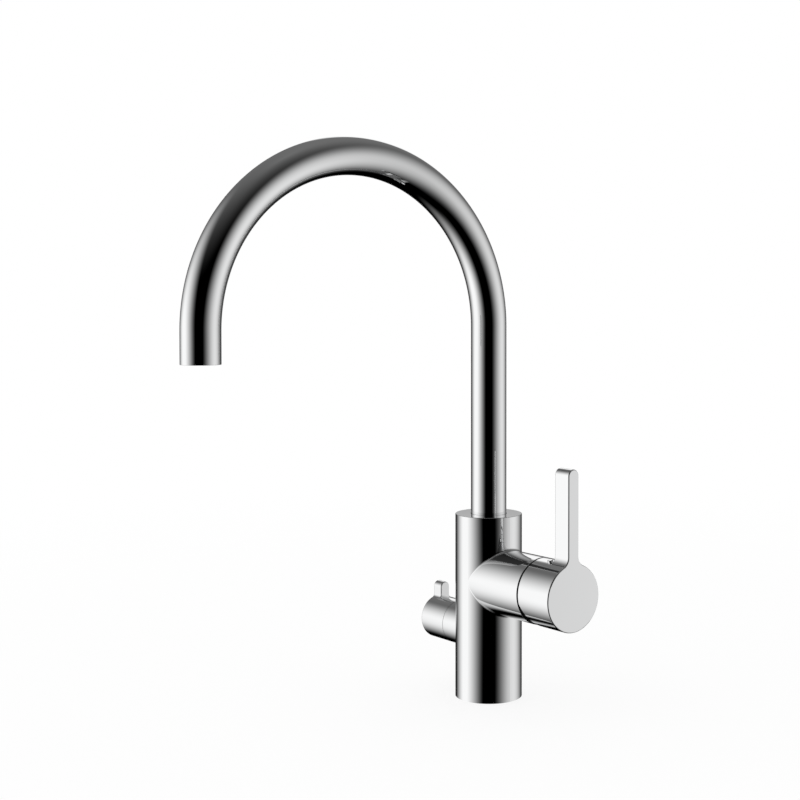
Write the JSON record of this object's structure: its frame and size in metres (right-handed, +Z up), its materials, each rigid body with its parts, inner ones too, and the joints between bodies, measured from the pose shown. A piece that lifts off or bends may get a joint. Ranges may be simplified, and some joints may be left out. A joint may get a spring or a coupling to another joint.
{
  "type": "three way filtered water tap",
  "caption": "Chrome kitchen tap: round body, swan neck spout, side mixer lever for hot and cold, and a small lever valve for filtered water.",
  "frame": {"origin": "middle of the body's foot, at the mouth of the middle stud socket", "axes": "+Z up along the body, -Y along the spout towards the user, +X along the mixer valve, -X along the filtered water valve"},
  "size_m": [0.1479, 0.261, 0.386],
  "materials": {
    "chrome": "polished chrome plate on brass",
    "brass": "turned",
    "rubber": "matt black",
    "steel": "stainless, turned",
    "acetal": "moulded, off-white",
    "dark_plastic": "moulded, dark grey",
    "inner_tube": "food-safe hose, milky white",
    "ceramic": "lapped ceramic, white"
  },
  "bodies": {
    "tap_body": {"main_body": "chrome", "base_seal": "rubber", "spout_stop_screw": "steel", "spout_thrust_washer": "acetal", "cartridge_base": "acetal", "cartridge_port_seals": "rubber", "fixed_ceramic_disc": "ceramic", "cartridge_housing": "acetal", "cartridge_nut": "brass", "shroud_ring": "dark_plastic", "filter_headwork": "brass", "filter_seat_seal": "rubber", "filter_headwork_o_ring": "rubber", "filter_fixed_disc": "ceramic"},
    "spout": {"spout_tube": "chrome", "spout_spigot": "brass", "spout_bearing_rings": "acetal", "spout_o_rings": "rubber", "filtered_water_tube": "inner_tube", "filtered_tube_connector": "brass", "connector_o_ring": "rubber", "outlet_collar": "brass", "aerator_washer": "rubber", "aerator_housing": "dark_plastic", "flow_straightener": "dark_plastic", "filtered_water_nozzle": "dark_plastic"},
    "mixer_sleeve": {"cartridge_sleeve": "acetal"},
    "mixer_lever": {"lever_spindle": "brass", "spindle_pin": "steel", "mixer_handle": "chrome", "mixer_handle_screw": "steel", "grub_screw_plug": "chrome"},
    "mixer_discs": {"moving_ceramic_disc": "ceramic", "disc_carrier": "acetal"},
    "filter_lever": {"filter_handle": "chrome", "filter_handle_screw": "steel", "filter_spindle": "brass", "filter_turning_disc": "ceramic", "filter_spindle_o_rings": "rubber", "filter_spindle_clip": "steel"}
  },
  "joints": [
    {"name": "spout_swivel", "type": "hinge", "parent": "tap_body", "child": "spout", "pos_m": [0, 0, 0.125], "axis": [0, 0, 1], "range_deg": [-60, 60]},
    {"name": "mixer_temperature", "type": "hinge", "parent": "tap_body", "child": "mixer_sleeve", "pos_m": [0.056, 0, 0.083], "axis": [1, 0, 0], "range_deg": [-45, 45]},
    {"name": "mixer_flow", "type": "hinge", "parent": "mixer_sleeve", "child": "mixer_lever", "pos_m": [0.056, 0, 0.078], "axis": [0, 1, 0], "range_deg": [0, 20]},
    {"name": "mixer_disc_slide", "type": "slide", "parent": "mixer_sleeve", "child": "mixer_discs", "axis": [0, 0, 1], "range_m": [0, 0.0073]},
    {"name": "filter_turn", "type": "hinge", "parent": "tap_body", "child": "filter_lever", "pos_m": [-0.046, 0, 0.046], "axis": [1, 0, 0], "range_deg": [0, 90]}
  ],
  "couplings": [
    {"joint": "mixer_disc_slide", "follows": "mixer_flow", "m_per_rad": 0.020692}
  ]
}
